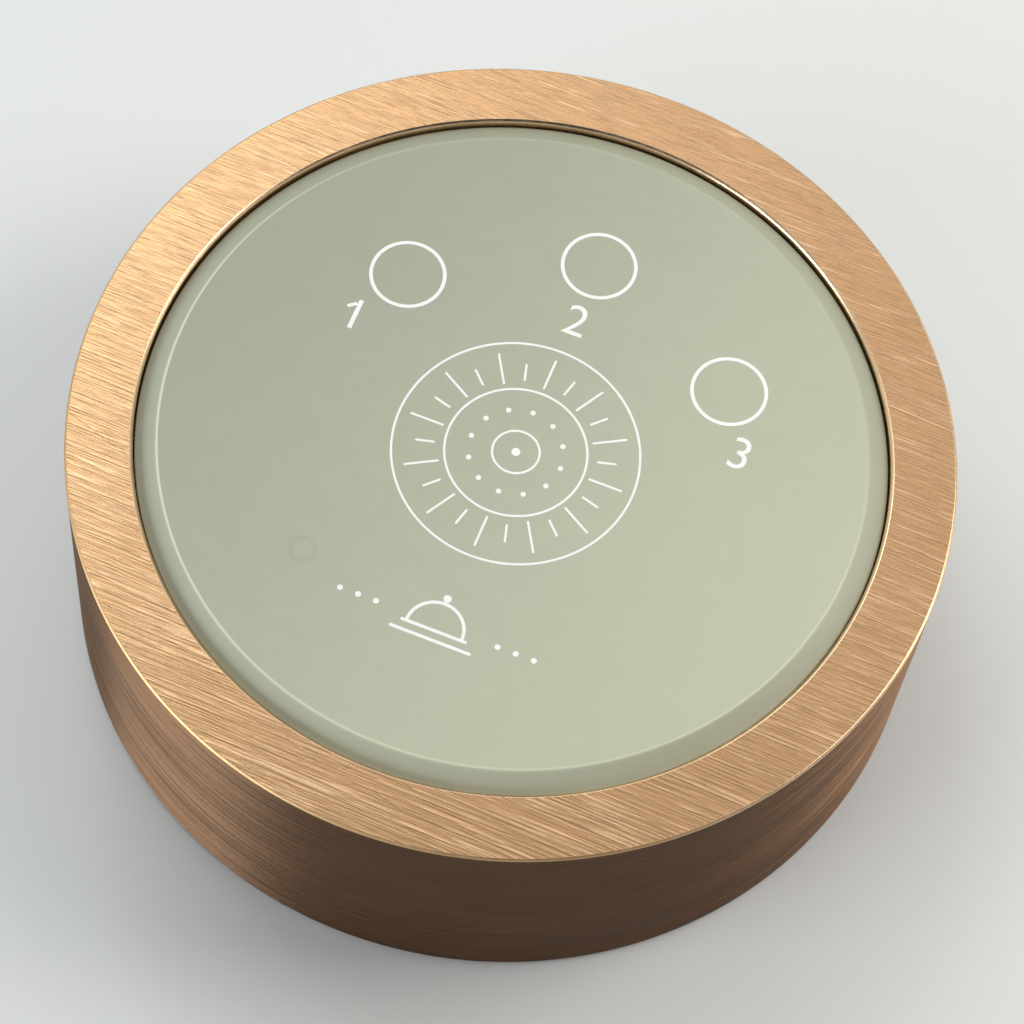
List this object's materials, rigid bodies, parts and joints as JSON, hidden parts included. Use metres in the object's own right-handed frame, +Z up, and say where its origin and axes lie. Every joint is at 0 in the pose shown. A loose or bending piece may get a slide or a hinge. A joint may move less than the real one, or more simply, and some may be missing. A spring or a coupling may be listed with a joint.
{
  "type": "touch call button",
  "caption": "Round table-top call button: brushed brass ring round a bevelled touch disc, with a bayonet battery cover, slide switch and pairing button below.",
  "frame": {"origin": "centre of the foot ring's ground face, on the table", "axes": "+Z up through the touch panel, +X along the lines of print and the brushing of the top face, -Y towards the user"},
  "size_m": [0.09, 0.09, 0.03],
  "materials": {
    "brushed_brass": "brushed straight on the top face and round the wall",
    "panel_plastic": "satin, sage green",
    "black_silicone": "matt",
    "clear_adhesive": "clear film",
    "copper": "plated copper foil",
    "circuit_board": "green solder mask",
    "chip_resin": "moulded resin",
    "white_plastic": "moulded, light-tight white",
    "led_lens": "yellow-white resin",
    "plated_steel": "nickel plated",
    "capacitor_resin": "moulded ochre resin",
    "ceramic": "ceramic",
    "connector_plastic": "moulded nylon",
    "black_plastic": "fine spark texture",
    "cell_case": "printed film on a steel can, bare of print",
    "control_plastic": "moulded grey",
    "foam": "closed-cell foam"
  },
  "bodies": {
    "housing": {"housing_ring": "brushed_brass", "touch_panel": "panel_plastic", "panel_gasket": "black_silicone", "bonding_sheet": "clear_adhesive", "touch_pads": "copper", "touch_board": "circuit_board", "touch_chip": "chip_resin", "light_baffle": "white_plastic", "status_leds": "led_lens", "main_board": "circuit_board", "board_screws": "plated_steel", "controller_chip": "chip_resin", "crystal": "plated_steel", "boost_converter": "chip_resin", "supply_capacitors": "capacitor_resin", "radio_board": "circuit_board", "radio_shield": "plated_steel", "chip_antenna": "ceramic", "board_socket": "connector_plastic", "board_header": "connector_plastic", "chassis": "black_plastic", "positive_contacts": "plated_steel", "negative_contacts": "plated_steel", "battery_cells": "cell_case", "switch_board": "circuit_board", "switch_header": "connector_plastic", "power_switch": "plated_steel", "pairing_switch": "plated_steel", "base_plate": "black_plastic", "base_screws": "plated_steel", "foot_ring": "black_silicone"},
    "cover": {"battery_cover": "black_plastic", "cover_seal": "black_silicone", "cell_pads": "foam"},
    "slider": {"power_slider": "control_plastic", "switch_lever": "connector_plastic"},
    "button": {"pairing_button": "control_plastic", "tact_plunger": "connector_plastic"}
  },
  "joints": [
    {"name": "cover_turn", "type": "hinge", "parent": "housing", "child": "cover", "pos_m": [0, 0, 0], "axis": [0, 0, -1], "range_deg": [0, 30]},
    {"name": "power_slide", "type": "slide", "parent": "housing", "child": "slider", "axis": [1, 0, 0], "range_m": [0, 0.002]},
    {"name": "pairing_press", "type": "slide", "parent": "housing", "child": "button", "axis": [0, 0, 1], "range_m": [0, 0.0004], "stiffness_N_per_m": 1500}
  ]
}
